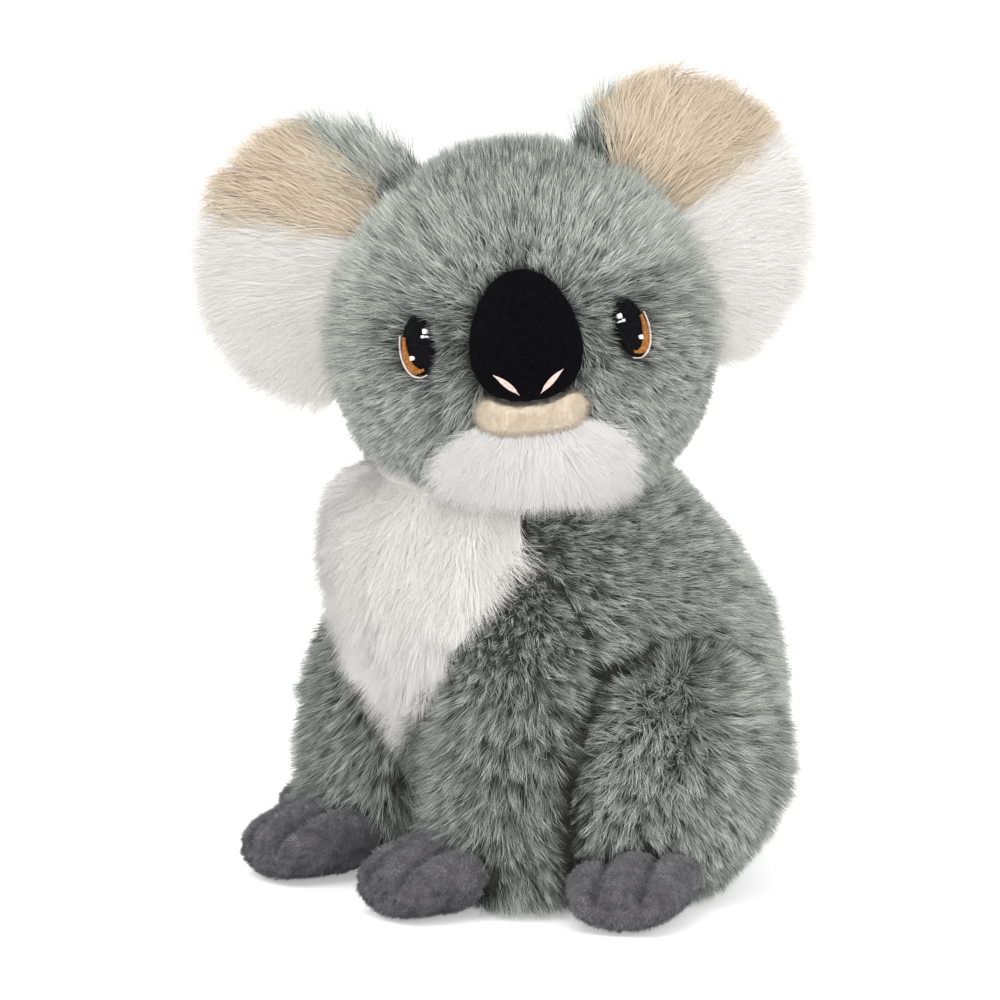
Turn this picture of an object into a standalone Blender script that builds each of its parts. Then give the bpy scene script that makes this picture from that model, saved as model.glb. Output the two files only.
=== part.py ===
import math

import bmesh
import bpy
from mathutils import Matrix, Vector

# A sitting koala soft toy, sewn from pile fabric over stuffing.
# Metres, +z up. The chest faces -y, the toy's own left is +x, and z = 0 is the surface it sits on.

# Fits and cloth
clearance = 0.0003
pileFabric = 0.006
shortFabric = 0.003
flatCut = 0.0005
cutterReach = 0.3

# Body, as a pear that leans forward
bodyHeight = 0.136
bodyHalfWidth = 0.060
bodyHalfDepth = 0.069
seatBack = 0.034
seatHalfWidth = 0.026
seatHalfDepth = 0.029
beanPouchHeight = 0.026

# Bib, as heights above the floor and half widths
bibTopHeight = 0.150
bibShoulderHeight = 0.108
bibRibHeight = 0.080
bibBellyHeight = 0.059
bibTipHeight = 0.046
bibTopHalfWidth = 0.028
bibShoulderHalfWidth = 0.042
bibRibHalfWidth = 0.036
bibBellyHalfWidth = 0.013
bibTipHalfWidth = 0.002

# Head, turned to its left, tipped up and leaning to its right
headOut = 0.011
headOverBody = 0.0285
headPlace = (headOut, 0.0, bodyHeight + headOverBody)
headYaw = math.radians(56)
headTipUp = math.radians(9)
headLean = math.radians(5)
headHalfWidth = 0.0560
headHalfHeight = 0.0535
headHalfDepth = 0.051

# Nose, a padded pear
nosePlace = (0.0, -0.046, -0.0044)
noseHalfWidth = 0.0178
noseHalfHeight = 0.0205
noseHalfDepth = 0.0150
nostrilOut = 0.0062
nostrilUp = -0.0136
nostrilLength = 0.0095
nostrilWidth = 0.0019

# Muzzle strip and chin, as outlines on the face
muzzleHalfWidth = 0.0165
muzzleTop = -0.0215
muzzleBottom = -0.0320
chinHalfWidth = 0.0285
chinBottom = -0.0600

# Eyes, in satin stitch
eyeOut = 0.0297
eyeUp = -0.0050
eyeHalfWidth = 0.0047
eyeHalfHeight = 0.0086
stitchHeight = 0.0012
threadGap = 0.00035
irisInnerShares = (0.50, 0.62)
irisOuterShares = (1.02, 1.00)
irisFrom = math.radians(-105)
irisTo = math.radians(22)
rimInnerShares = (1.11, 1.06)
rimOuterShares = (1.27, 1.13)
rimFrom = math.radians(-108)
rimTo = math.radians(25)
glintPlaceShares = (-0.50, 0.32)
glintSizeShares = (0.22, 0.14)
crescentTipShare = 0.3
sharpestCorner = 0.5
faceStartShare = 0.3
faceMiddleShare = 0.5
nostrilStartShare = 0.8
nostrilTipShare = 0.33
nostrilSlant = math.radians(42)

# Ears, two unlike fabrics in front and one behind
earHalfWidth = 0.0395
earHalfHeight = 0.0425
earHalfThickness = 0.012
earBack = 0.006
earSeamBack = 0.001
earOutRight = 0.0530
earOutLeft = 0.0475
earUpRight = 0.0255
earUpLeft = 0.0255
earTanTiltRight = math.radians(17)
earTanTiltLeft = math.radians(34)
earTanUpRight = 0.0085
earTanUpLeft = 0.0035
earTurnBack = math.radians(12)
earRimInRight = 0.029
earRimInLeft = 0.021
earRimTiltRight = math.radians(36)
earRimTiltLeft = math.radians(4)

# Front legs
armHeight = 0.112
armHalfWidth = 0.0260
armHalfDepth = 0.0260

# Thighs
thighInBody = 0.006
thighPlaceOut = bodyHalfWidth - thighInBody
thighPlaceBack = 0.021
thighHeight = 0.078
thighHalfWidth = 0.0280
thighHalfDepth = 0.0420

# Paws, dark plush with three toes
frontPawLength = 0.0510
frontPawHalfWidth = 0.0195
frontPawHeight = 0.0280
frontPawOut = 0.0300
frontPawBack = -0.0155
frontPawSplay = math.radians(2)
hindPawLength = 0.062
hindPawHalfWidth = 0.0190
hindPawHeight = 0.0270
hindPawInThigh = 0.005
hindPawOut = thighPlaceOut - hindPawInThigh
hindPawBack = 0.0240
hindPawSplay = math.radians(40)
toeCount = 3
toeGrooveShare = 0.17
toeNotchShare = 0.07
toeEdgeShare = 0.85
toeStartShare = 0.2
toeRaisedShare = 0.15
toeRise = 2.0

# Ring tables, from the first end to the last: along, through offset, half across, half through,
# as shares of the form's length, half depth, half width and half depth
bodyRingShares = [
    (0.000, 0.50, 0.56, 0.46),
    (0.000, 0.50, 0.78, 0.62),
    (0.080, 0.49, 0.92, 0.74),
    (0.270, 0.44, 0.99, 0.87),
    (0.450, 0.37, 1.00, 0.98),
    (0.620, 0.25, 0.95, 0.99),
    (0.790, 0.12, 0.84, 0.90),
    (0.920, 0.02, 0.64, 0.72),
    (1.000, -0.01, 0.40, 0.46),
]
headRingShares = [
    (-1.00, 0.00, 0.42, 0.46),
    (-0.88, -0.02, 0.70, 0.72),
    (-0.62, -0.04, 0.92, 0.92),
    (-0.28, -0.04, 1.01, 1.00),
    (0.08, -0.01, 0.99, 1.01),
    (0.42, 0.02, 0.90, 0.94),
    (0.72, 0.03, 0.70, 0.76),
    (0.92, 0.03, 0.44, 0.50),
    (1.00, 0.03, 0.20, 0.24),
]
noseRingShares = [
    (-1.00, 0.10, 0.42, 0.40),
    (-0.80, 0.02, 0.80, 0.76),
    (-0.40, 0.00, 1.02, 1.00),
    (0.05, 0.00, 0.97, 1.02),
    (0.50, 0.05, 0.80, 0.88),
    (0.85, 0.16, 0.52, 0.58),
    (1.00, 0.24, 0.24, 0.28),
]
earRingShares = [
    (-1.00, 0.00, 0.50, 0.50),
    (-0.62, 0.00, 0.88, 0.88),
    (0.00, 0.00, 1.02, 1.02),
    (0.62, 0.00, 0.88, 0.88),
    (1.00, 0.00, 0.50, 0.50),
]
armRingShares = [
    (0.000, -0.64, 0.54, 0.58),
    (0.000, -0.64, 0.84, 0.88),
    (0.080, -0.64, 0.98, 1.02),
    (0.260, -0.62, 1.00, 1.04),
    (0.460, -0.58, 1.02, 1.04),
    (0.680, -0.52, 0.98, 1.02),
    (0.880, -0.42, 0.82, 0.88),
    (1.000, -0.34, 0.48, 0.50),
]
armOutShares = [1.30, 1.30, 1.30, 1.28, 1.26, 1.18, 1.08, 1.00]
thighRingShares = [
    (0.000, -0.24, 0.40, 0.38),
    (0.000, -0.24, 0.62, 0.57),
    (0.140, -0.14, 0.88, 0.84),
    (0.400, -0.01, 1.02, 1.00),
    (0.660, 0.02, 0.92, 0.92),
    (0.880, 0.04, 0.62, 0.62),
    (1.000, 0.06, 0.28, 0.30),
]
pawRingShares = [
    (0.00, 0.84, 0.72, 0.84),
    (0.30, 0.98, 0.96, 0.98),
    (0.64, 0.92, 1.02, 0.92),
    (0.90, 0.76, 0.90, 0.74),
    (1.00, 0.60, 0.62, 0.46),
]
# Outlines on the face, right half from the top down, as shares of the half width and of the height
chinOutlineShares = [(0.60, -0.10), (0.92, 0.08), (1.00, 0.34), (0.92, 0.66), (0.62, 1.00)]
muzzleOutlineShares = [(0.92, 0.00), (1.00, 0.20), (1.00, 0.60), (0.80, 0.90), (0.40, 1.00)]

# How finely the forms are drawn
skinSides = 16
limbSides = 12
hollowSides = 12
smallHollowSides = 8
formLevels = 1
cornerShare = 0.75
seatSides = 24
pupilSides = 14
glintSides = 8
irisSteps = 7
rimSteps = 8


# Scene and collections

def clearScene():
    for thing in list(bpy.data.objects):
        bpy.data.objects.remove(thing, do_unlink=True)


def newCollection(name):
    made = bpy.data.collections.new(name)
    bpy.context.scene.collection.children.link(made)
    return made


def newEmpty(name, place, turn, parent):
    made = bpy.data.objects.new(name, None)
    koala.objects.link(made)
    placeObject(made, place, turn, parent)
    return made


def placeObject(piece, place, turn, parent):
    piece.location = place
    piece.rotation_euler = turn
    piece.parent = parent


clearScene()
koala = newCollection("koala_soft_toy")
cutters = newCollection("cutters")
upright = (0, 0, 0)
facingForward = (math.radians(90), 0, 0)
atParent = (0, 0, 0)

# The frame's origin is the middle of the seat panel. Every form hangs from a point in front of it.
sitPoint = newEmpty("sit_point", (0, -seatBack, 0), upright, None)
headPose = newEmpty("head_pose", headPlace, (-headTipUp, -headLean, headYaw), sitPoint)


# Materials

def fabric(name, colour, roughness):
    made = bpy.data.materials.new(name)
    made.use_nodes = True
    shader = made.node_tree.nodes["Principled BSDF"]
    shader.inputs["Base Color"].default_value = (*colour, 1.0)
    shader.inputs["Roughness"].default_value = roughness
    shader.inputs["Metallic"].default_value = 0.0
    made.diffuse_color = (*colour, 1.0)
    return made


greyPile = fabric("grey_heather_pile", (0.22, 0.24, 0.22), 0.95)
whitePile = fabric("white_long_pile", (0.80, 0.78, 0.75), 0.95)
tanPile = fabric("tan_long_pile", (0.64, 0.53, 0.41), 0.95)
beigePile = fabric("beige_short_pile", (0.74, 0.62, 0.45), 0.95)
darkPlush = fabric("dark_short_plush", (0.11, 0.10, 0.12), 0.90)
blackVelvet = fabric("black_velvet", (0.006, 0.006, 0.008), 0.80)
blackThread = fabric("black_thread", (0.008, 0.008, 0.010), 0.45)
amberThread = fabric("amber_thread", (0.47, 0.18, 0.04), 0.45)
paleThread = fabric("pale_thread", (0.80, 0.72, 0.68), 0.45)
pinkThread = fabric("pink_thread", (0.72, 0.52, 0.48), 0.45)
fibreFill = fabric("fibre_fill", (0.85, 0.85, 0.84), 1.00)
pelletCloth = fabric("pellet_pouch_cloth", (0.70, 0.68, 0.62), 0.90)


# Stacked rings, the cage of every soft form

def ringList(form, inset):
    # One ring is its place (x, y, z) and its two half sizes. An inset draws the form in on every side.
    first = form["shares"][0][0]
    last = form["shares"][-1][0]
    low = first * form["length"] + inset
    high = last * form["length"] - inset
    outShares = form.get("outShares", [0] * len(form["shares"]))
    rings = []
    for out, (along, offset, across, through) in zip(outShares, form["shares"]):
        place = Vector((out * form["halfAcross"] * form["side"], offset * form["halfThrough"], 0))
        place.z = low + (high - low) * (along - first) / (last - first)
        rings.append((place, across * form["halfAcross"] - inset, through * form["halfThrough"] - inset))
    return rings


def widened(rings, sides):
    # Subdivision draws a ring of few sides in, so the cage starts wider by the same share.
    grow = 1 / (cornerShare + (1 - cornerShare) * math.cos(2 * math.pi / sides))
    return [(place, across * grow, through * grow) for place, across, through in rings]


def stackRings(rings, sides):
    cage = bmesh.new()
    lastPlace, lastAcross, lastThrough = rings[0]
    made = bmesh.ops.create_circle(cage, radius=1.0, segments=sides, cap_ends=False)
    bmesh.ops.scale(cage, vec=(lastAcross, lastThrough, 1.0), verts=made["verts"])
    bmesh.ops.translate(cage, vec=lastPlace, verts=made["verts"])
    edges = list(cage.edges)
    bmesh.ops.contextual_create(cage, geom=edges)
    for place, across, through in rings[1:]:
        made = bmesh.ops.extrude_edge_only(cage, edges=edges)["geom"]
        verts = [item for item in made if isinstance(item, bmesh.types.BMVert)]
        edges = [item for item in made if isinstance(item, bmesh.types.BMEdge) and item.is_boundary]
        ratio = (across / lastAcross, through / lastThrough, 1.0)
        bmesh.ops.scale(cage, vec=ratio, verts=verts, space=Matrix.Translation(-lastPlace))
        bmesh.ops.translate(cage, vec=place - lastPlace, verts=verts)
        lastPlace, lastAcross, lastThrough = place, across, through
    bmesh.ops.contextual_create(cage, geom=edges)
    bmesh.ops.recalc_face_normals(cage, faces=cage.faces)
    return cage


def pinchToes(cage, form):
    # Two stitched grooves part the front of a paw into three toes.
    height = 2 * form["halfThrough"]
    for vert in cage.verts:
        across = max(-1.0, min(1.0, vert.co.x / form["halfAcross"]))
        lobe = abs(math.cos(toeCount / 2 * math.pi * across)) if abs(across) < toeEdgeShare else 1.0
        forward = max(0.0, vert.co.z / form["length"] - toeStartShare)
        raised = max(0.0, vert.co.y / height - toeRaisedShare)
        depth = toeGrooveShare * height * min(1.0, toeRise * forward) * min(1.0, toeRise * raised)
        vert.co.y -= (1 - lobe) * depth
        vert.co.z -= (1 - lobe) * toeNotchShare * form["length"] * forward


# Objects and cuts

def addObject(name, mesh, home, colour=None):
    made = bpy.data.objects.new(name, mesh)
    home.objects.link(made)
    if home == cutters:
        made.hide_render = True
        made.display_type = "WIRE"
    if colour:
        mesh.materials.clear()
        mesh.materials.append(colour)
    return made


def cageObject(name, cage, home, colour=None):
    mesh = bpy.data.meshes.new(name)
    cage.to_mesh(mesh)
    cage.free()
    mesh.shade_smooth()
    return addObject(name, mesh, home, colour)


def addSmoothing(piece, levels):
    # Every copy of a form is split into the same triangles, so the gap between two copies stays even.
    if levels:
        smooth = piece.modifiers.new("Smooth", "SUBSURF")
        smooth.levels = levels
        smooth.render_levels = levels
    facets = piece.modifiers.new("Facets", "TRIANGULATE")
    facets.quad_method = "FIXED"


def copyOf(piece, name, home, colour=None):
    made = addObject(name, piece.data.copy(), home, colour)
    placeObject(made, piece.location, piece.rotation_euler, piece.parent)
    addSmoothing(made, formLevels)
    return made


def grownCopy(piece, name, amount):
    # A cutter that stands off the piece's surface by this amount.
    made = copyOf(piece, name, cutters)
    swell = made.modifiers.new("Swell", "DISPLACE")
    swell.mid_level = 0.0
    swell.strength = amount
    return made


def cut(piece, cutter, operation="DIFFERENCE"):
    made = piece.modifiers.new(cutter.name, "BOOLEAN")
    made.operation = operation
    # Soft forms that graze each other come out empty from the exact solver.
    made.solver = "MANIFOLD"
    made.object = cutter


def cutAll(pieces, cuttersUsed):
    for piece in pieces:
        for cutter in cuttersUsed:
            cut(piece, cutter)


def slab(name, bottom, top):
    # A wide level layer, for cutting forms at a height.
    cage = bmesh.new()
    bmesh.ops.create_cube(cage, size=1.0)
    size = (2 * cutterReach, 2 * cutterReach, top - bottom)
    bmesh.ops.scale(cage, vec=size, verts=cage.verts)
    bmesh.ops.translate(cage, vec=(0, 0, (bottom + top) / 2), verts=cage.verts)
    return cageObject(name, cage, cutters)


def prism(name, outline, near, far, turn, parent, home=None, colour=None):
    # A flat outline drawn on x and y, drawn out along z from near to far.
    cage = bmesh.new()
    corners = [cage.verts.new((x, y, near)) for x, y in outline]
    face = cage.faces.new(corners)
    raised = bmesh.ops.extrude_face_region(cage, geom=[face])["geom"]
    verts = [item for item in raised if isinstance(item, bmesh.types.BMVert)]
    bmesh.ops.translate(cage, vec=(0.0, 0.0, far - near), verts=verts)
    bmesh.ops.recalc_face_normals(cage, faces=cage.faces)
    made = cageObject(name, cage, home or cutters, colour)
    made.data.shade_flat()
    placeObject(made, atParent, turn, parent)
    return made


def mirrored(outline):
    # The right half of an outline, top to bottom, and its mirror image.
    return outline + [(-x, y) for x, y in reversed(outline)]


def oval(centre, halfWidth, halfHeight, sides):
    outline = []
    for index in range(sides):
        turn = 2 * math.pi * index / sides
        outline.append((centre[0] + halfWidth * math.cos(turn), centre[1] + halfHeight * math.sin(turn)))
    return outline


def sewnForm(name, form, colour, wall, place, turn, parent):
    # The sewn skin of a form, the hollow inside it, and the stuffing that fills the hollow.
    cage = stackRings(widened(ringList(form, 0.0), form["sides"]), form["sides"])
    inner = dict(form)
    if "toed" in form:
        pinchToes(cage, form)
        inner["halfThrough"] = form["halfThrough"] * (1 - toeGrooveShare)
    skin = cageObject(name + "_skin", cage, koala, colour)
    placeObject(skin, place, turn, parent)
    addSmoothing(skin, formLevels)
    grown = grownCopy(skin, name + "_grown", clearance)
    hollow = cageObject(name + "_hollow", stackRings(ringList(inner, wall), form["innerSides"]), cutters)
    fillCage = stackRings(ringList(inner, wall + clearance), form["innerSides"])
    fill = cageObject(name + "_stuffing", fillCage, koala, fibreFill)
    for piece in (hollow, fill):
        placeObject(piece, place, turn, parent)
        addSmoothing(piece, 0)
    return {"skin": skin, "grown": grown, "hollow": hollow, "fill": fill}


def formOf(shares, length, halfAcross, halfThrough, sides, innerSides, side=1):
    return {
        "shares": shares,
        "length": length,
        "halfAcross": halfAcross,
        "halfThrough": halfThrough,
        "sides": sides,
        "innerSides": innerSides,
        "side": side,
    }


floorCut = slab("floor_cut", -cutterReach, 0.0)


# Body, bib, seat panel and bean pouch

def makeBody():
    form = formOf(bodyRingShares, bodyHeight, bodyHalfWidth, bodyHalfDepth, skinSides, hollowSides)
    return sewnForm("body", form, greyPile, pileFabric, (0, 0, -flatCut), upright, sitPoint)


def bibOutline(gap):
    return mirrored([
        (bibTopHalfWidth - gap, bibTopHeight),
        (bibShoulderHalfWidth - gap, bibShoulderHeight),
        (bibRibHalfWidth - gap, bibRibHeight),
        (bibBellyHalfWidth - gap, bibBellyHeight),
        (bibTipHalfWidth - gap, bibTipHeight + 2 * gap),
    ])


def makeBib(body):
    # The bib is a panel of white fabric let into the front of the body skin.
    opening = prism("bib_opening", bibOutline(0.0), 0.0, cutterReach, facingForward, sitPoint)
    blank = prism("bib_blank", bibOutline(clearance), clearance, cutterReach, facingForward, sitPoint)
    bib = copyOf(body["skin"], "chest_bib", koala, whitePile)
    cutAll((body["skin"], bib), (body["hollow"],))
    cut(body["skin"], opening)
    cut(bib, blank, "INTERSECT")


def makeSeat(body):
    # A panel closes the seat. Over it the hollow holds a pouch of pellets, then the stuffing.
    centre = (0.0, seatBack)
    hole = oval(centre, seatHalfWidth, seatHalfDepth, seatSides)
    plug = oval(centre, seatHalfWidth - clearance, seatHalfDepth - clearance, seatSides)
    opening = prism("seat_opening", hole, -pileFabric, 2 * pileFabric, upright, sitPoint)
    prism("seat_panel", plug, 0.0, pileFabric - flatCut, upright, sitPoint, koala, greyPile)
    pouch = addObject("bean_pouch", body["fill"].data.copy(), koala, pelletCloth)
    placeObject(pouch, body["fill"].location, upright, sitPoint)
    addSmoothing(pouch, 0)
    cut(pouch, slab("pouch_lid", beanPouchHeight, cutterReach))
    cut(body["fill"], slab("stuffing_floor", -cutterReach, beanPouchHeight + clearance))
    cutAll((body["skin"],), (opening, floorCut))


body = makeBody()
makeBib(body)
makeSeat(body)


# Head with its face panels

def facePrism(name, outline, near, home=None, colour=None):
    # The face looks along -y of the head, so its outlines stand upright and are drawn out forwards.
    return prism(name, outline, near, cutterReach, facingForward, headPose, home, colour)


def faceOutline(shares, halfWidth, top, bottom, gap):
    height = bottom - top
    outline = []
    for across, down in shares:
        up = gap if down < faceMiddleShare else -gap
        outline.append((across * halfWidth - gap, top + down * height - up))
    return mirrored(outline)


def makeHead(body):
    form = formOf(headRingShares, headHalfHeight, headHalfWidth, headHalfDepth, skinSides, hollowSides)
    head = sewnForm("head", form, greyPile, pileFabric, atParent, upright, headPose)
    cutAll((head["skin"], head["fill"]), (body["grown"],))
    near = faceStartShare * headHalfDepth
    chin = (chinOutlineShares, chinHalfWidth, muzzleBottom, chinBottom)
    muzzle = (muzzleOutlineShares, muzzleHalfWidth, muzzleTop, muzzleBottom)
    panels = []
    openings = []
    for name, outline, colour in (("chin_patch", chin, whitePile), ("muzzle_strip", muzzle, beigePile)):
        blank = facePrism(name + "_blank", faceOutline(*outline, clearance), near + clearance)
        openings.append(facePrism(name + "_opening", faceOutline(*outline, 0.0), near))
        panel = copyOf(head["skin"], name, koala, colour)
        cut(panel, head["hollow"])
        cut(panel, blank, "INTERSECT")
        cut(panel, body["grown"])
        panels.append(panel)
    cutAll((head["skin"],), (head["hollow"], *openings))
    cut(panels[0], openings[1])
    head["panels"] = panels
    return head


head = makeHead(body)


# Nose with its stitched nostrils

def nostrilOutline(side):
    along = Vector((math.cos(nostrilSlant), side * math.sin(nostrilSlant))) * side
    thick = Vector((-along.y, along.x)) * nostrilWidth / 2
    centre = Vector((side * nostrilOut, nosePlace[2] + nostrilUp))
    outer = centre + along * nostrilLength / 2
    inner = centre - along * nostrilLength / 2
    tip = thick * nostrilTipShare
    return [inner + thick, outer + tip, outer - tip, inner - thick]


def makeNose(head):
    form = formOf(noseRingShares, noseHalfHeight, noseHalfWidth, noseHalfDepth, limbSides, 0)
    cage = stackRings(widened(ringList(form, 0.0), limbSides), limbSides)
    nose = cageObject("nose_pad", cage, koala, blackVelvet)
    placeObject(nose, nosePlace, upright, headPose)
    addSmoothing(nose, formLevels)
    low = grownCopy(nose, "nose_grown", clearance)
    high = grownCopy(nose, "nose_stitch_top", stitchHeight + clearance)
    cut(nose, head["grown"])
    cutAll(head["panels"], (low,))
    near = nostrilStartShare * headHalfDepth
    for side, word in ((1, "left"), (-1, "right")):
        stitch = facePrism("nostril_" + word, nostrilOutline(side), near, koala, pinkThread)
        cut(stitch, high, "INTERSECT")
        cut(stitch, low)


makeNose(head)


# Eyes in satin stitch

def crescent(centre, side, inner, outer, start, end, steps):
    # A band between two ovals that narrows to both ends.
    outline = []
    for shares, order in ((outer, range(steps)), (inner, reversed(range(steps)))):
        for index in order:
            share = index / (steps - 1)
            turn = start + (end - start) * share
            full = max(math.sin(math.pi * share), crescentTipShare)
            across = (inner[0] + outer[0]) / 2 * (1 - full) + shares[0] * full
            up = (inner[1] + outer[1]) / 2 * (1 - full) + shares[1] * full
            x = centre[0] + side * across * eyeHalfWidth * math.cos(turn)
            outline.append((x, centre[1] + up * eyeHalfHeight * math.sin(turn)))
    return outline


def widenedOutline(outline, gap):
    # Every corner moves outwards, so that the outline is wider by the gap all round.
    count = len(outline)
    points = [Vector(corner) for corner in outline]
    area = sum(points[index - 1].cross(points[index]) for index in range(count))
    outwards = 1 if area > 0 else -1
    wide = []
    for index in range(count):
        here = points[index]
        first = (here - points[index - 1]).normalized()
        second = (points[(index + 1) % count] - here).normalized()
        normal = Vector((first.y + second.y, -first.x - second.x)).normalized() * outwards
        facing = normal.dot(Vector((first.y, -first.x))) * outwards
        wide.append(here + normal * gap / max(facing, sharpestCorner))
    return wide


def makeEyes(head):
    low = grownCopy(head["skin"], "stitch_base", clearance)
    high = grownCopy(head["skin"], "stitch_top", clearance + stitchHeight)
    near = faceStartShare * headHalfDepth
    for side, word in ((1, "left"), (-1, "right")):
        centre = (side * eyeOut, eyeUp)
        glintAcross = centre[0] + side * glintPlaceShares[0] * eyeHalfWidth
        glintCentre = (glintAcross, centre[1] + glintPlaceShares[1] * eyeHalfHeight)
        glintHalf = (glintSizeShares[0] * eyeHalfWidth, glintSizeShares[1] * eyeHalfHeight)
        pupil = oval(centre, eyeHalfWidth, eyeHalfHeight, pupilSides)
        iris = crescent(centre, side, irisInnerShares, irisOuterShares, irisFrom, irisTo, irisSteps)
        rim = crescent(centre, side, rimInnerShares, rimOuterShares, rimFrom, rimTo, rimSteps)
        glint = oval(glintCentre, *glintHalf, glintSides)
        pieces = {}
        for part, outline, colour in (("pupil", pupil, blackThread), ("iris", iris, amberThread),
                                      ("rim", rim, paleThread), ("glint", glint, paleThread)):
            pieces[part] = facePrism("eye_" + part + "_" + word, outline, near, koala, colour)
            cut(pieces[part], high, "INTERSECT")
            cut(pieces[part], low)
        for part, outline in (("iris", iris), ("glint", glint)):
            pocket = facePrism(part + "_pocket_" + word, widenedOutline(outline, threadGap), near)
            cut(pieces["pupil"], pocket)


makeEyes(head)


# Ears, each a tan and a white panel in front and a grey back

def makeEar(head, ear):
    side, word = ear["side"], ear["word"]
    place = (side * ear["out"], earBack, ear["up"])
    pose = newEmpty("ear_pose_" + word, place, (math.radians(90), 0, side * earTurnBack), headPose)
    reach = 2 * earHalfHeight
    far = side * reach
    gap = clearance / 2

    # The rim line is where the grey back fabric folds round to the front, nearest the head.
    def rimAt(height, gap):
        return side * (height * math.tan(ear["rimTilt"]) - ear["rimIn"] + gap)

    # The tan line parts the tan panel above from the white panel below.
    def tanAt(out, gap):
        return ear["tanUp"] + side * out * math.tan(ear["tanTilt"]) + gap

    rim = rimAt(tanAt(rimAt(ear["tanUp"], 0), 0), clearance)
    front = [(rimAt(-reach, 0), -reach), (far, -reach), (far, reach), (rimAt(reach, 0), reach)]
    foot, crown = rimAt(-reach, clearance), rimAt(reach, clearance)
    white = [(foot, -reach), (far, -reach), (far, tanAt(far, -gap)), (rim, tanAt(rim, -gap))]
    tan = [(rim, tanAt(rim, gap)), (far, tanAt(far, gap)), (far, reach), (crown, reach)]
    form = formOf(earRingShares, earHalfThickness, earHalfWidth, earHalfHeight, limbSides, 0)
    seam = -earSeamBack
    for part, colour, outline, near, operation in (
        ("back", greyPile, front, seam, "DIFFERENCE"),
        ("white", whitePile, white, seam + clearance, "INTERSECT"),
        ("tan", tanPile, tan, seam + clearance, "INTERSECT"),
    ):
        name = "ear_" + part + "_" + word
        cage = stackRings(widened(ringList(form, 0.0), limbSides), limbSides)
        piece = cageObject(name, cage, koala, colour)
        placeObject(piece, atParent, upright, pose)
        addSmoothing(piece, formLevels)
        cut(piece, prism(name + "_blank", outline, near, reach, upright, pose), operation)
        cut(piece, head["grown"])


makeEar(head, {"side": 1, "word": "left", "out": earOutLeft, "up": earUpLeft, "tanUp": earTanUpLeft,
               "tanTilt": earTanTiltLeft, "rimIn": earRimInLeft, "rimTilt": earRimTiltLeft})
makeEar(head, {"side": -1, "word": "right", "out": earOutRight, "up": earUpRight, "tanUp": earTanUpRight,
               "tanTilt": earTanTiltRight, "rimIn": earRimInRight, "rimTilt": earRimTiltRight})


# Front legs, thighs and paws

def makeArm(side, word):
    form = formOf(armRingShares, armHeight, armHalfWidth, armHalfDepth, limbSides, smallHollowSides, side)
    form["outShares"] = armOutShares
    arm = sewnForm("arm_" + word, form, greyPile, pileFabric, (0, 0, -flatCut), upright, sitPoint)
    cutAll((arm["skin"], arm["fill"]), (body["grown"], head["grown"]))
    return arm


def makeThigh(side, word, arm):
    halves = (thighHalfWidth, thighHalfDepth)
    form = formOf(thighRingShares, thighHeight, *halves, limbSides, smallHollowSides, side)
    place = (side * thighPlaceOut, thighPlaceBack, -flatCut)
    thigh = sewnForm("thigh_" + word, form, greyPile, pileFabric, place, upright, sitPoint)
    cutAll((thigh["skin"], thigh["fill"]), (body["grown"], arm["grown"]))
    return thigh


def makePaw(name, length, halfWidth, height, place, turnOut, larger):
    form = formOf(pawRingShares, length, halfWidth, height / 2, skinSides, smallHollowSides)
    form["toed"] = True
    turn = (math.radians(90), 0, turnOut)
    paw = sewnForm(name, form, darkPlush, shortFabric, place, turn, sitPoint)
    cutAll((paw["skin"], paw["fill"]), [limb["grown"] for limb in larger])
    return paw


def makeLimbs(side, word):
    arm = makeArm(side, word)
    thigh = makeThigh(side, word, arm)
    place = (side * frontPawOut, frontPawBack, -flatCut)
    front = makePaw("front_paw_" + word, frontPawLength, frontPawHalfWidth, frontPawHeight, place,
                    side * frontPawSplay, (arm,))
    place = (side * hindPawOut, hindPawBack, -flatCut)
    hind = makePaw("hind_paw_" + word, hindPawLength, hindPawHalfWidth, hindPawHeight, place,
                   side * hindPawSplay, (thigh, arm, body))
    for limb in (arm, thigh, front, hind):
        cutAll((limb["skin"],), (limb["hollow"], floorCut))


for side, word in ((1, "left"), (-1, "right")):
    makeLimbs(side, word)
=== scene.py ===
import math

import bmesh
import bpy
import numpy as np
from mathutils import Euler, Matrix, Vector, noise
from mathutils.bvhtree import BVHTree
from mathutils.kdtree import KDTree


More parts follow.
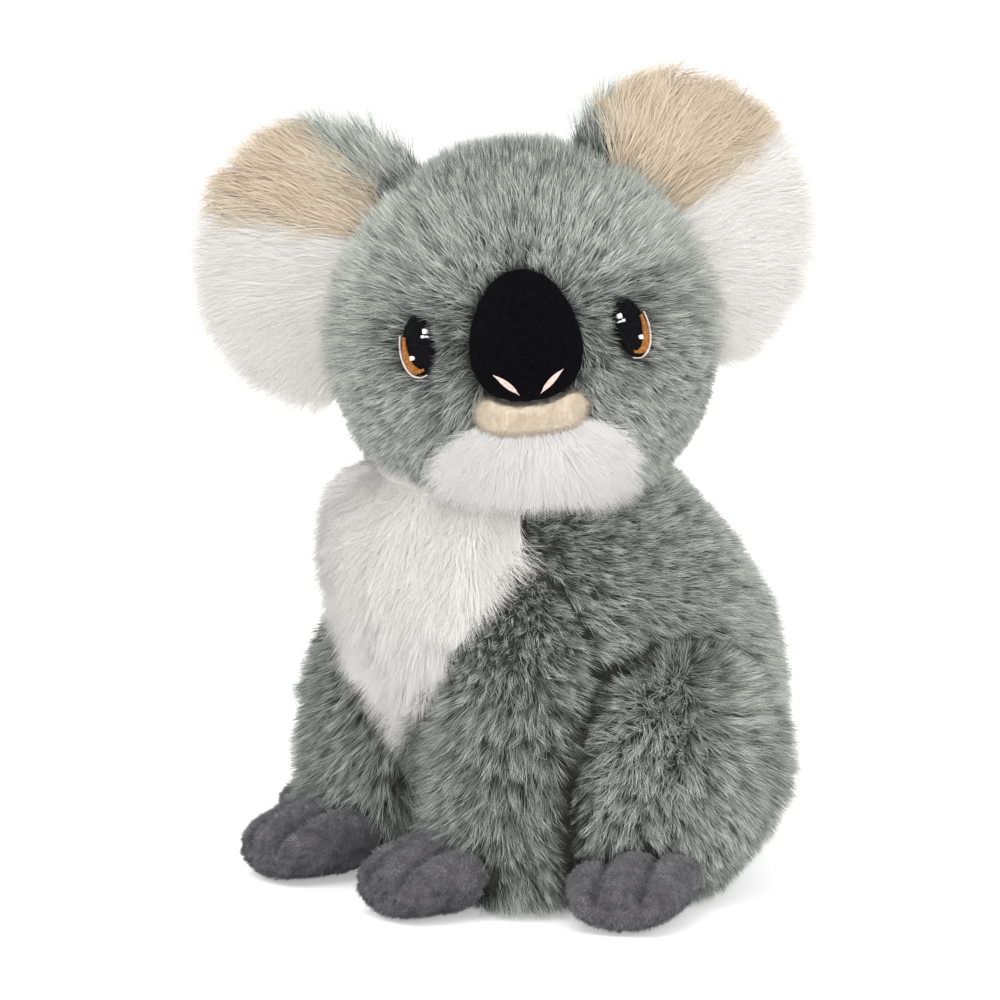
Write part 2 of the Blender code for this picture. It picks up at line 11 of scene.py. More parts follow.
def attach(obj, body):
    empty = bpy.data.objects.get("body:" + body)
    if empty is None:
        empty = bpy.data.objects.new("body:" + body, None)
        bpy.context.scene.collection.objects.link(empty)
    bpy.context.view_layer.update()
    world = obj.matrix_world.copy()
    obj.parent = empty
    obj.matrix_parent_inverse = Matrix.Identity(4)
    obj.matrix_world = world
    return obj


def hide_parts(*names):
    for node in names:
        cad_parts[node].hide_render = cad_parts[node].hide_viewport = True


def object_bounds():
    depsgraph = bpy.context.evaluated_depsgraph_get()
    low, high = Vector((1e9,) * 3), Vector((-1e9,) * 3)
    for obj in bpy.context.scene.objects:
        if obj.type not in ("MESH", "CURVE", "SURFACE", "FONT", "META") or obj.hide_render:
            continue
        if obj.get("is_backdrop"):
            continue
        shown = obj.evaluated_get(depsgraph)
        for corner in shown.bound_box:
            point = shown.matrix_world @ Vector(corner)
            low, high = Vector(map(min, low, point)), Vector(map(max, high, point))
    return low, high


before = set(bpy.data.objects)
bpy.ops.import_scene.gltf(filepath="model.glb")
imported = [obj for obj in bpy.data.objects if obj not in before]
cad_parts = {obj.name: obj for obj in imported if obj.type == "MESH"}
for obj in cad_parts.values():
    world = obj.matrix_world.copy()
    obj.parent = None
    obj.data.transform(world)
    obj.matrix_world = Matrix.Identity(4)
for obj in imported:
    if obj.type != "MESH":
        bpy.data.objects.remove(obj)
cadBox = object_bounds()
scene = bpy.context.scene
seed = 11
noise.seed_set(seed)  # otherwise the patches of the pile differ from run to run
random = np.random.default_rng(seed)
print("frame loaded:", len(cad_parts), "nodes")


def poseAt(place, turns):
    return Matrix.Translation(place) @ Euler([math.radians(turn) for turn in turns]).to_matrix().to_4x4()


# Where the head stands and which way it looks. On it, x is its own left, -y is forward and z is up.
sitPoint = Vector((0.0, -0.034, 0.0))
headStand = {"place": (0.011, 0.0, 0.1645), "tipLeanTurn": (-9, -5, 56)}
headPose = poseAt(sitPoint + Vector(headStand["place"]), headStand["tipLeanTurn"])
headTurn, headCentre = np.array(headPose.to_3x3()), np.array(headPose.translation)
floorGap = 0.0004  # the pile stops this far above the surface
weldReach = 0.00001
touching = 0.0005  # what is nearer than this to another piece is covered by it
tiny = 1e-9
sides = ((1, "left"), (-1, "right"))


# Small helpers on rows of vectors

def unit(rows):
    return rows / np.maximum(np.linalg.norm(rows, axis=-1, keepdims=True), tiny)


def flattened(rows, normals):
    # What is left of each vector along the surface
    return rows - (rows * normals).sum(1, keepdims=True) * normals


def onHead(points):
    return (points - headCentre) @ headTurn


def fromHead(points):
    return points @ headTurn.T + headCentre


def smoothStep(low, high, values):
    t = np.clip((values - low) / (high - low), 0, 1)
    return t * t * (3 - 2 * t)


def changes(rows, measures, points, normals):
    # Each row: by how much, and between which two values of which measures the change comes in
    for amount, *steps in rows:
        shares = [smoothStep(start, end, measures[name](points, normals)) for name, start, end in steps]
        yield amount * math.prod(shares)


def combedAlong(way):
    # The same lie of the pile all over a piece
    return lambda points, normals: np.array(way) + 0 * points


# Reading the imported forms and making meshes

def welded(mesh):
    shape = bmesh.new()
    shape.from_mesh(mesh)
    bmesh.ops.remove_doubles(shape, verts=shape.verts, dist=weldReach)
    return shape


def weldedForm(name):
    shape = welded(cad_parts[name].data)
    bmesh.ops.triangulate(shape, faces=shape.faces)
    return shape


def finerForm(name):
    shape = weldedForm(name)
    bmesh.ops.subdivide_edges(shape, edges=shape.edges, cuts=1, use_grid_fill=True)
    return shape


def meshFrom(shape, name):
    mesh = bpy.data.meshes.new(name)
    shape.to_mesh(mesh)
    shape.free()
    return mesh


def formTree(*names):
    # One search tree over several packed forms
    points, faces = [], []
    for name in names:
        shape = weldedForm(name)
        start = len(points)
        points += [v.co.copy() for v in shape.verts]
        faces += [[start + v.index for v in f.verts] for f in shape.faces]
        shape.free()
    return BVHTree.FromPolygons(points, faces)


def neighboursOf(*names):
    return formTree(*[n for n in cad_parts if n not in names])


def distances(tree, points, reach):
    # How far each point is from a form, or the reach where it is further away
    near = [tree.find_nearest(Vector(p), reach)[3] for p in points]
    return np.array([reach if n is None else n for n in near])


# Colours and finishes

def setAll(thing, **values):
    for key, value in values.items():
        setattr(thing, key, value)


def setInputs(node, values):
    for socket, value in values.items():
        node.inputs[socket].default_value = value


def addNode(tree, kind, inputs={}, **values):
    node = tree.nodes.new("ShaderNode" + kind)
    setAll(node, **values)
    setInputs(node, inputs)
    return node


def wire(tree, *links):
    # Each link: a node and its output, then a node and its input
    for source, output, target, socket in links:
        tree.links.new(source.outputs[output], target.inputs[socket])


def newMaterial(name, roughness, sheen=0.0, gloss=0.1):
    made = bpy.data.materials.new(name)
    made.use_nodes = True
    shader = made.node_tree.nodes["Principled BSDF"]
    setInputs(shader, {"Roughness": roughness, "Sheen Weight": sheen, "Sheen Roughness": 0.5,
                       "Specular IOR Level": gloss})
    return made, made.node_tree, shader


def addRamp(tree, stops):
    node = addNode(tree, "ValToRGB")
    ramp = node.color_ramp
    while len(ramp.elements) < len(stops):
        ramp.elements.new(0.5)
    for element, (place, colour) in zip(ramp.elements, stops):
        setAll(element, position=place, color=(*colour, 1.0))
    return node


def pileMaterial(look):
    # Along a fibre v runs from root to tip, and its ramp darkens the roots with painted shade; u says how dark or
    # light the fibre was dyed.
    made, tree, shader = newMaterial(look["name"], *look["finish"])
    uv = addNode(tree, "UVMap", uv_map="OFBake")
    split = addNode(tree, "SeparateXYZ")
    dye = addRamp(tree, look["dye"])
    shade = addRamp(tree, [(place, (value,) * 3) for place, value in look["rootToTip"]])
    both = addNode(tree, "Mix", {"Factor": 1.0}, data_type="RGBA", blend_type="MULTIPLY")
    wire(tree, (uv, "UV", split, "Vector"), (split, "X", dye, "Fac"), (split, "Y", shade, "Fac"),
         (dye, "Color", both, "A"), (shade, "Color", both, "B"), (both, "Result", shader, "Base Color"))
    return made


knit = {"roughness": 0.95, "sheen": 0.2, "gloss": 0.05, "ramp": (0.3, 0.7), "bump": 0.6, "finer": 6,
        "patches": {"Detail": 6.0, "Roughness": 0.65}, "nap": {"Detail": 3.0}}
thread = {"roughness": 0.5, "scale": 1400.0, "ramp": (0.35, 0.65)}


def clothMaterial(name, dark, light, scale, depth, sheen=knit["sheen"]):
    # Knitted backing and crushed pile: two sizes of noise for colour, a finer one for the bump
    made, tree, shader = newMaterial(name, knit["roughness"], sheen, knit["gloss"])
    place = addNode(tree, "TexCoord")
    patches = addNode(tree, "TexNoise", dict(knit["patches"], Scale=scale))
    nap = addNode(tree, "TexNoise", dict(knit["nap"], Scale=scale * knit["finer"]))
    ramp = addRamp(tree, list(zip(knit["ramp"], (dark, light))))
    bump = addNode(tree, "Bump", {"Distance": depth, "Strength": knit["bump"]})
    wire(tree, (place, "Object", patches, "Vector"), (place, "Object", nap, "Vector"), (patches, "Fac", ramp, "Fac"),
         (ramp, "Color", shader, "Base Color"), (nap, "Fac", bump, "Height"), (bump, "Normal", shader, "Normal"))
    return made


def threadMaterial(name, dark, light, gloss):
    # Satin thread: light streaks across the stitch
    made, tree, shader = newMaterial(name, thread["roughness"], 0.0, gloss)
    place = addNode(tree, "TexCoord")
    streaks = addNode(tree, "TexNoise", {"Scale": thread["scale"]})
    ramp = addRamp(tree, list(zip(thread["ramp"], (dark, light))))
    wire(tree, (place, "Object", streaks, "Vector"), (streaks, "Fac", ramp, "Fac"),
         (ramp, "Color", shader, "Base Color"))
    return made


def makeFabric(look):
    # The look's finish is its roughness, sheen and gloss, and its backing the cloth that the pile grows from.
    return {"pile": pileMaterial(look), "cloth": clothMaterial(*look["backing"]), "slot": look["slot"]}


grey = makeFabric({
    "name": "grey heather pile", "slot": "grey_heather_pile", "finish": (0.7, 0.05, 0.1),
    "dye": [(0.0, (0.060, 0.055, 0.048)), (0.3, (0.240, 0.250, 0.226)), (0.6, (0.61, 0.66, 0.595)),
            (0.85, (0.93, 0.98, 0.91))],
    "rootToTip": [(0.0, 0.15), (0.45, 0.42), (0.8, 0.95), (1.0, 1.0)],
    "backing": ("grey backing", (0.020, 0.019, 0.017), (0.055, 0.056, 0.050), 260.0, 0.0006),
})
white = makeFabric({
    "name": "white silky pile", "slot": "white_long_pile", "finish": (0.6, 0.1, 0.1),
    "dye": [(0.0, (0.84, 0.81, 0.77)), (0.5, (0.95, 0.92, 0.88)), (1.0, (0.99, 0.975, 0.95))],
    "rootToTip": [(0.0, 0.97), (0.4, 0.99), (1.0, 1.0)],
    "backing": ("white backing", (0.78, 0.76, 0.72), (0.86, 0.84, 0.81), 260.0, 0.0006),
})
tan = makeFabric({
    "name": "tan ear pile", "slot": "tan_long_pile", "finish": (0.6, 0.1, 0.1),
    "dye": [(0.0, (0.52, 0.40, 0.265)), (0.5, (0.71, 0.585, 0.435)), (1.0, (0.88, 0.78, 0.63))],
    "rootToTip": [(0.0, 0.8), (0.4, 0.93), (1.0, 1.0)],
    "backing": ("tan backing", (0.60, 0.48, 0.35), (0.75, 0.62, 0.48), 260.0, 0.0006),
})
beige = makeFabric({
    "name": "beige muzzle pile", "slot": "beige_short_pile", "finish": (0.8, 0.1, 0.05),
    "dye": [(0.0, (0.645, 0.535, 0.40)), (1.0, (0.83, 0.73, 0.60))],
    "rootToTip": [(0.0, 0.92), (1.0, 1.0)],
    "backing": ("beige backing", (0.68, 0.57, 0.43), (0.80, 0.70, 0.56), 900.0, 0.0005),
})
dark = makeFabric({
    "name": "dark paw plush", "slot": "dark_short_plush", "finish": (0.7, 0.1, 0.15),
    "dye": [(0.0, (0.050, 0.048, 0.053)), (0.5, (0.235, 0.23, 0.245)), (1.0, (0.48, 0.47, 0.485))],
    "rootToTip": [(0.0, 0.35), (0.8, 1.0)],
    "backing": ("dark plush ground", (0.05, 0.048, 0.052), (0.12, 0.116, 0.124), 300.0, 0.0007),
})
velvet = makeFabric({
    "name": "black nose velvet", "slot": "black_velvet", "finish": (1.0, 0.0, 0.012),
    "dye": [(0.0, (0.001, 0.001, 0.0015)), (1.0, (0.004, 0.004, 0.0055))],
    "rootToTip": [(0.0, 0.7), (1.0, 1.0)],
    "backing": ("nose velvet ground", (0.001, 0.001, 0.0015), (0.003, 0.003, 0.0045), 500.0, 0.0003, 0.0),
})
fillCloth = clothMaterial("fibre fill", (0.70, 0.70, 0.69), (0.86, 0.86, 0.85), 180.0, 0.002)
pouchCloth = clothMaterial("pellet pouch weave", (0.52, 0.50, 0.45), (0.72, 0.70, 0.64), 240.0, 0.001)
threads = {
    "pupil": ("black_thread", "black eye thread", (0.002, 0.002, 0.003), (0.006, 0.006, 0.008), 0.04),
    "iris": ("amber_thread", "amber eye thread", (0.19, 0.066, 0.012), (0.40, 0.160, 0.034), 0.2),
    "rim": ("pale_thread", "pale eye thread", (0.66, 0.52, 0.46), (0.86, 0.76, 0.71), 0.2),
    "glint": ("pale_thread", "white glint thread", (0.82, 0.80, 0.80), (0.95, 0.94, 0.94), 0.2),
    "nostril": ("pink_thread", "pink nostril thread", (0.60, 0.42, 0.38), (0.80, 0.63, 0.58), 0.2),
}
for part, (slot, *look) in threads.items():
    threads[part] = {"cloth": threadMaterial(*look), "slot": slot}


# Making pieces

def addObject(name, data):
    made = bpy.data.objects.new(name, data)
    scene.collection.objects.link(made)
    return made


def finishPiece(name, mesh, fabric, layer, replaced=(), fill=None):
    piece = addObject(name, mesh)
    mesh.materials.clear()
    mesh.materials.append(fabric[layer])
    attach(piece, "root")
    if replaced:
        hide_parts(*replaced)
    return piece


def shapeNow(piece):
    return bpy.data.meshes.new_from_object(piece.evaluated_get(bpy.context.evaluated_depsgraph_get()))


def applyModifiers(piece):
    mesh, old = shapeNow(piece), piece.data
    piece.modifiers.clear()
    piece.data = mesh
    bpy.data.meshes.remove(old)


def movedCloth(name, node, fabric, fill, moved):
    # The sewn fabric under the pile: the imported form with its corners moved
    shape = finerForm(node)
    for vert in shape.verts:
        vert.co = moved(vert.co)
    mesh = meshFrom(shape, name)
    mesh.shade_smooth()
    finishPiece(name, mesh, fabric, "cloth", (node,), fill)


sewn = {"keep": 0.4, "fill": 0.7}  # how far the cloth stays from its filling, as a share, and how full it is


def squeezedCloth(name, node, filling, fabric):
    # The wall of the form, drawn in towards its filling
    def drawnIn(place):
        near = filling.find_nearest(place)[0]
        return near + (place - near) * sewn["keep"]

    movedCloth(name, node, fabric, sewn["fill"], drawnIn)


# The pile: one closed three-sided fibre, bent and laid many times

def fibreTemplate(rings):
    # Returns each corner's turn and height, and the triangles, of a cone cut into rings
    shape = bmesh.new()
    bmesh.ops.create_cone(shape, cap_ends=True, segments=3, radius1=1.0, radius2=0.0, depth=1.0)
    bmesh.ops.remove_doubles(shape, verts=shape.verts, dist=0.001)
    for ring in range(1, rings):
        height = ring / rings - 0.5
        bmesh.ops.bisect_plane(shape, geom=list(shape.verts) + list(shape.edges) + list(shape.faces),
                               plane_co=(0, 0, height), plane_no=(0, 0, 1))
    bmesh.ops.triangulate(shape, faces=shape.faces)
    bmesh.ops.recalc_face_normals(shape, faces=shape.faces)
    shape.verts.index_update()
    corners = np.array([v.co for v in shape.verts])
    triangles = np.array([[v.index for v in f.verts] for f in shape.faces])
    shape.free()
    turns = np.arctan2(corners[:, 1], corners[:, 0])
    heights = np.round((corners[:, 2] + 0.5) * rings).astype(int)
    return turns, heights, triangles


fibre = {
    "taper": 0.45, "sideTone": 0.006,  # thinner towards the tip, and the three sides a little unlike
    "spread": 0.12, "shortest": 0.5, "longest": 1.4,
    "girthSpread": 0.2, "thinnest": 0.5, "thickest": 1.6,
    "tipSpread": 0.3, "gatherPower": 1.5,  # how far the tips of a tuft stay apart
    "roundShare": 0.7,  # how far a rounded patch forgets its own form
    "creasePower": 1.3, "eyeGap": 0.0006, "eyeStump": 0.14, "floorStump": 0.1,
    "toneRange": (0.02, 0.98), "alongRange": (0.01, 0.99), "wall": 0.006, "outerShare": 0.72,
}
pileTriangles = []


def layFibres(name, paths, widths, tones, upward, soft, fabric):
    # paths: fibres by points along each by 3, from root to tip
    count, points = paths.shape[:2]
    rings = points - 1
    turns, heights, triangles = fibreTemplate(rings)
    along = unit(paths[:, -1] - paths[:, 0])
    # Two ways across the fibre
    helper = np.where(np.abs(along[:, 2:3]) > 0.9, (1.0, 0, 0), (0, 0, 1.0))
    across = unit(np.cross(along, helper))
    through = np.cross(along, across)
    share = heights / rings
    girth = np.where(heights == rings, 0.0, 1.0 - fibre["taper"] * share ** 2)
    own = across[:, None, :] * np.cos(turns)[None, :, None] + through[:, None, :] * np.sin(turns)[None, :, None]
    corners = paths[:, heights, :] + (widths[:, None] * girth)[:, :, None] * own
    corners[:, :, 2] = np.maximum(corners[:, :, 2], floorGap)
    perFibre = len(turns)
    faces = triangles[None] + np.arange(count)[:, None, None] * perFibre
    mesh = bpy.data.meshes.new(name)
    mesh.vertices.add(count * perFibre)
    mesh.vertices.foreach_set("co", corners.astype(np.float32).ravel())
    mesh.loops.add(faces.size)
    mesh.loops.foreach_set("vertex_index", faces.astype(np.int32).ravel())
    mesh.polygons.add(faces.size // 3)
    mesh.polygons.foreach_set("loop_start", np.arange(0, faces.size, 3, dtype=np.int32))
    uv = mesh.uv_layers.new(name="OFBake")
    lanes = np.argsort(np.argsort(turns + 10 * (heights == rings))) % 3  # each corner's side, the tip last
    place = np.empty((count, len(triangles), 3, 2), np.float32)
    place[..., 0] = tones[:, None, None] + (lanes[triangles][None] - 1) * fibre["sideTone"]
    place[..., 1] = np.clip(share[triangles], *fibre["alongRange"])[None]
    uv.data.foreach_set("uv", place.ravel())
    mesh.update(calc_edges=True)
    mesh.shade_smooth()
    # A fibre is shaded mostly as the pile round it, which keeps the coat soft.
    own[:, heights == rings] = along[:, None, :]
    shading = own * (1 - soft[:, None, None]) + upward[:, None, :] * soft[:, None, None]
    mesh.normals_split_custom_set_from_vertices(unit(shading.reshape(-1, 3)))
    pileTriangles.append(faces.size // 3)
    finishPiece(name, mesh, fabric, "pile")


def outerTriangles(node, filling, others):
    # Corners and smooth corner normals of the triangles that the pile grows from. The inner face of a wall
    # and what another piece covers are left out.
    shape = weldedForm(node)
    outer = []
    for face in shape.faces:
        middle = face.calc_center_median()
        if filling and filling.find_nearest(middle)[3] < fibre["wall"] * fibre["outerShare"]:
            continue
        if (distances(others, [middle] + [v.co for v in face.verts], touching) < touching).all():
            continue
        outer.append(face)
    direction = {}
    for face in outer:
        for loop in face.loops:
            add = face.normal * loop.calc_angle()
            direction[loop.vert.index] = direction.get(loop.vert.index, Vector()) + add
    corners = [[v.co[:] for v in face.verts] for face in outer]
    normals = [[direction[v.index].normalized()[:] for v in face.verts] for face in outer]
    shape.free()
    return np.array(corners), np.array(normals)


def growPile(name, coat):
    # Scatters roots over the outer surface, then combs, bends and clumps the fibres
    corners, normals = coat["surface"]
    edgeOne, edgeTwo = corners[:, 1] - corners[:, 0], corners[:, 2] - corners[:, 0]
    area = np.linalg.norm(np.cross(edgeOne, edgeTwo), axis=1) / 2
    count = int(area.sum() * coat["density"])
    pick = random.choice(len(area), count, p=area / area.sum())
    a, b = random.random(count), random.random(count)
    flip = a + b > 1
    a[flip], b[flip] = 1 - a[flip], 1 - b[flip]
    weights = np.stack([1 - a - b, a, b], 1)[:, :, None]
    points = (corners[pick] * weights).sum(1)
    upward = unit((normals[pick] * weights).sum(1))
    if coat["others"]:
        bare = distances(coat["others"], points, touching) == touching
        points, upward = points[bare], upward[bare]
    count = len(points)
    if "roundFrom" in coat:
        outward = unit(points - coat["roundFrom"])
        upward = unit(upward * (1 - fibre["roundShare"]) + outward * fibre["roundShare"])

    def by(key):
        return changes(coat.get(key, ()), coat.get("measures"), points, upward)

    # Tufts: every fibre leans towards the middle fibre of its tuft
    tufts = max(1, int(count * coat["tuftDensity"] / coat["density"]))
    middles = random.choice(count, tufts, replace=False)
    tree = KDTree(tufts)
    for index, middle in enumerate(middles):
        tree.insert(points[middle], index)
    tree.balance()
    tuft = np.array([tree.find(p)[1] for p in points])
    tuftTurn = random.normal(0, coat["tuftTurn"], tufts)[tuft]
    tuftTone = random.normal(0, coat["tuftTone"], tufts)[tuft]
    tuftLength = random.normal(1, coat["tuftLength"], tufts)[tuft]

    # Soft patches, where the pile lies another way and looks darker or lighter
    patch = np.array([noise.noise_vector(Vector(p) * coat["patchScale"]) for p in points])
    combed = unit(flattened(coat["comb"](points, upward), upward))
    turn = tuftTurn + random.normal(0, coat["turn"], count) + patch[:, 0] * coat["patchTurn"]
    side = np.cross(upward, combed)
    combed = combed * np.cos(turn)[:, None] + side * np.sin(turn)[:, None]
    lift = coat["lift"] + random.normal(0, coat["liftSpread"], count) + sum(by("liftBy"))
    soft = np.full(count, coat["soft"]) * math.prod(1 + change for change in by("softBy"))
    length = tuftLength * random.normal(1, fibre["spread"], count)
    length = coat["length"] * np.clip(length, fibre["shortest"], fibre["longest"])
    crease = np.zeros(count)
    if "creaseWith" in coat:
        # Where two stuffed forms press together the pile is flattened and short, and painted shade darkens it there.
        gap = distances(coat["creaseWith"], points, coat["creaseReach"]) / coat["creaseReach"]
        crease = (1 - gap) ** fibre["creasePower"]
    length = length * (1 - coat["creaseShort"] * crease)
    length = length * math.prod(1 + change for change in by("lengthBy"))
    if "lengthAt" in coat:
        length = length * coat["lengthAt"](points, upward)
    if "stopAt" in coat:
        room = coat["stopAt"](points, combed) + random.normal(fibre["eyeGap"], fibre["eyeGap"], count)
        length = length * np.clip(room / (length * np.cos(lift)), fibre["eyeStump"], 1)
    rings = coat["rings"]
    path = [points - upward * coat["depth"]]
    for ring in range(rings):
        leaning = (lift * (1 - coat["bend"] * ring / max(1, rings - 1)))[:, None]
        step = upward * np.sin(leaning) + combed * np.cos(leaning)
        step[:, 2] -= coat["droop"] * (ring + 1) / rings
        path.append(path[-1] + unit(step) * (length / rings)[:, None])
    path = np.stack(path, 1)
    middle = middles[tuft]
    for ring in range(1, rings + 1):
        pull = coat["gather"] * (ring / rings) ** fibre["gatherPower"]
        target = path[middle, ring] + (path[:, 0] - path[middle, 0]) * fibre["tipSpread"]
        path[:, ring] = path[:, ring] * (1 - pull) + target * pull
    # Fibres that would reach the floor end just above it.
    root, tip = path[:, :1, 2], path[:, -1:, 2]
    above = np.clip(np.maximum(root - floorGap, 0) / np.maximum(root - tip, tiny), fibre["floorStump"], 1)
    path = path[:, :1] + (path - path[:, :1]) * np.where(tip < floorGap, above, 1.0)[:, :, None]
    tone = coat["tone"] + sum(by("toneBy"))
    if "toneAt" in coat:
        tone = tone + coat["toneAt"](points, upward)
    tone = tone + tuftTone + random.normal(0, coat["fibreTone"], count)
    # Painted shade in the creases between pieces darkens the tone here.
    tone = tone + patch[:, 1] * coat["patchTone"] - coat["creaseTone"] * crease
    tone = np.clip(tone, *fibre["toneRange"])
    width = random.normal(1, fibre["girthSpread"], count)
    width = coat["width"] * np.clip(width, fibre["thinnest"], fibre["thickest"])
    endings = coat.get("endings", [""])
    order = np.argsort(coat["sortBy"](points)) if "sortBy" in coat else np.arange(count)
    for ending, chosen in zip(endings, np.array_split(order, len(endings))):
        layFibres(name + ending, *[rows[chosen] for rows in (path, width, tone, upward, soft)], coat["fabric"])
    print(name, count, "fibres in", tufts, "tufts")


# Head

nose = {
    "halfWidth": 0.0170, "halfHeight": 0.0205, "up": -0.0044, "voxel": 0.0007, "smoothing": 24, "fill": 0.9,
    "nap": {"length": 0.0005, "density": 6.0e6, "width": 0.00009, "lift": 0.6, "fabric": velvet},
}
eyes = {
    "out": 0.0297, "up": -0.0050, "halfWidth": 0.0047, "halfHeight": 0.0086, "lean": {1: 11, -1: 0},
    "iris": ((0.50, 0.62), (1.04, 1.02), -108, 22), "rim": ((1.00, 0.99), (1.12, 1.06), -110, 22),
    "bandEnd": 0.25, "bandStops": (0, 0.33, 0.67, 1), "slant": 0.12, "pitch": 1.3, "glintPitch": 1.5,
    "threadRadius": 0.00022, "fineRadius": 0.00014, "endRise": 0.4, "shadeTall": 0.8,
    "rise": {"pupil": 0.0011, "iris": 0.0017, "rim": 0.0013, "glint": 0.0020},
    "glints": ((-0.52, 0.44, 0.17, 0.095), (-0.39, 0.27, 0.13, 0.060), (-0.64, 0.26, 0.09, 0.045),
               (0.33, -0.37, 0.13, 0.085)),
}
# The crease darkening in these coats is painted shade.
longPile = {  # densities are per square metre
    "density": 3.7e6, "tuftDensity": 2.2e5, "length": 0.0092, "lift": 1.15, "liftSpread": 0.28,
    "bend": 0.55, "droop": 0.05, "turn": 0.48, "tuftTurn": 0.34, "tuftLength": 0.10, "gather": 0.28, "soft": 0.65,
    "depth": 0.0038, "width": 0.00012, "tuftTone": 0.09, "fibreTone": 0.20, "rings": 1,
    "patchScale": 70.0, "patchTurn": 0.9, "patchTone": 0.08,
    "creaseReach": 0.010, "creaseTone": 0.35, "creaseShort": 0.55, "fabric": grey,
}
# Upright on the forehead, flatter and shorter next to the nose, and short towards the neck. The tone is lighter on
# the forehead, darker on the crown and lighter low on the outer cheeks, and painted shade darkens the pile round the
# nose and round the eyes.
headCoat = dict(
    longPile, tone=0.57, endings=("_right", "_left"),
    toneBy=[(0.11, ("up", 0.005, 0.020)), (-0.21, ("up", 0.026, 0.05)), (-0.10, ("nose", 1.45, 1.0)),
            (0.08, ("out", 0.02, 0.05), ("up", 0.02, -0.03)), (-0.16, ("eye", 0.016, 0.006))],
    liftBy=[(0.14, ("up", 0.010, 0.030)), (-0.35, ("nose", 1.5, 1.0)), (-0.25, ("back", 0.0, 0.03))],
    lengthBy=[(-0.4, ("nose", 1.6, 1.0)), (-0.28, ("up", 0.030, 0.044)), (-0.15, ("up", -0.018, -0.042)),
              (-0.45, ("out", 0.024, 0.042), ("up", 0.004, -0.022))],
)
headComb = {"whorlUp": 0.004, "above": 2.5, "below": 1.1, "behind": 0.045, "downBehind": 0.75}
farAway = 9.0


def fromNose(points, normals):
    # 1 at the edge of the nose and more beyond it, for the front of the head only
    local = onHead(points)
    away = np.hypot(local[:, 0] / nose["halfWidth"], (local[:, 2] - nose["up"]) / nose["halfHeight"])
    return np.where(local[:, 1] < 0, away, farAway)


def fromEye(points, normals):
    # How far from an eye, for the painted shade round it
    local = onHead(points)
    away = np.hypot(np.abs(local[:, 0]) - eyes["out"], (local[:, 2] - eyes["up"]) * eyes["shadeTall"])
    return np.where(local[:, 1] < 0, away, farAway)


def combHead(points, normals):
    # Up the forehead and outwards over the cheeks, then down the back of the head
    local = onHead(points)
    rise = local[:, 2] - headComb["whorlUp"]
    rise = np.where(rise > 0, headComb["above"], headComb["below"]) * rise
    away = unit(np.stack([local[:, 0], 0 * rise, rise], 1)) @ headTurn.T
    back = smoothStep(0.0, headComb["behind"], local[:, 1])[:, None]
    return away * (1 - headComb["downBehind"] * back) + np.array([0, 0, -1.0]) * back


def eyeTurn(side):
    # Turns rows of places round an eye so that the eye stands upright
    lean = math.radians(eyes["lean"][side])
    return np.array([[math.cos(lean), -math.sin(lean)], [math.sin(lean), math.cos(lean)]])


def roomToEye(points, combed):
    # How far a fibre can lean along the face before it crosses the edge of an eye
    local, way = onHead(points), combed @ headTurn
    room = np.full(len(points), farAway)
    scale = (eyes["halfWidth"], eyes["halfHeight"])
    for side in (-1, 1):
        level = eyeTurn(side)
        start = (local[:, [0, 2]] - (side * eyes["out"], eyes["up"])) @ level / scale
        step = way[:, [0, 2]] @ level / scale
        a, b, c = (step ** 2).sum(1), (start * step).sum(1), (start ** 2).sum(1) - 1
        under = b * b - a * c
        meets = (under > 0) & (b < 0) & (local[:, 1] < 0)
        reach = (-b - np.sqrt(np.maximum(under, 0))) / np.maximum(a, tiny)
        room = np.where(meets, np.minimum(room, np.maximum(reach, 0)), room)
    return room


headFilling = formTree("head_stuffing")
squeezedCloth("head_cloth", "head_skin", headFilling, grey)
squeezedCloth("chin_cloth", "chin_patch", headFilling, white)
print("head cloth made")


def coatOn(base, node, filling, **settings):
    others = neighboursOf(node)
    return dict(base, others=others, surface=outerTriangles(node, filling, others), **settings)


headMeasures = {
    "up": lambda p, n: onHead(p)[:, 2], "out": lambda p, n: np.abs(onHead(p)[:, 0]),
    "back": lambda p, n: onHead(p)[:, 1], "nose": fromNose, "eye": fromEye,
}
headPile = coatOn(headCoat, "head_skin", headFilling, comb=combHead, measures=headMeasures, stopAt=roomToEye,
                  sortBy=lambda p: onHead(p)[:, 0])
growPile("head_pile", headPile)

whiteCoat = dict(
    longPile, density=6.0e6, tuftDensity=6.0e4, length=0.0115, lift=0.66, liftSpread=0.20,
    turn=0.24, tuftTurn=0.12, gather=0.03, soft=0.97, width=0.00010, tuftTone=0.0, fibreTone=0.18, patchTone=0.0,
    patchTurn=0.5, fabric=white,
)
chin = {
    "combFrom": (0.0, -0.046, -0.022), "roundFrom": (0.0, -0.016, -0.026), "down": 0.1,
    "coat": {"tone": 0.98, "lift": 1.15, "length": 0.0098, "turn": 0.45, "tuftTurn": 0.3},
}


def combChin(points, normals):
    # Outwards from the muzzle, and a little down
    return unit(points - fromHead(chin["combFrom"])) - (0, 0, chin["down"])


chinPile = coatOn(dict(whiteCoat, **chin["coat"]), "chin_patch", headFilling, comb=combChin,
                  roundFrom=fromHead(chin["roundFrom"]))
growPile("chin_pile", chinPile)


# Nose

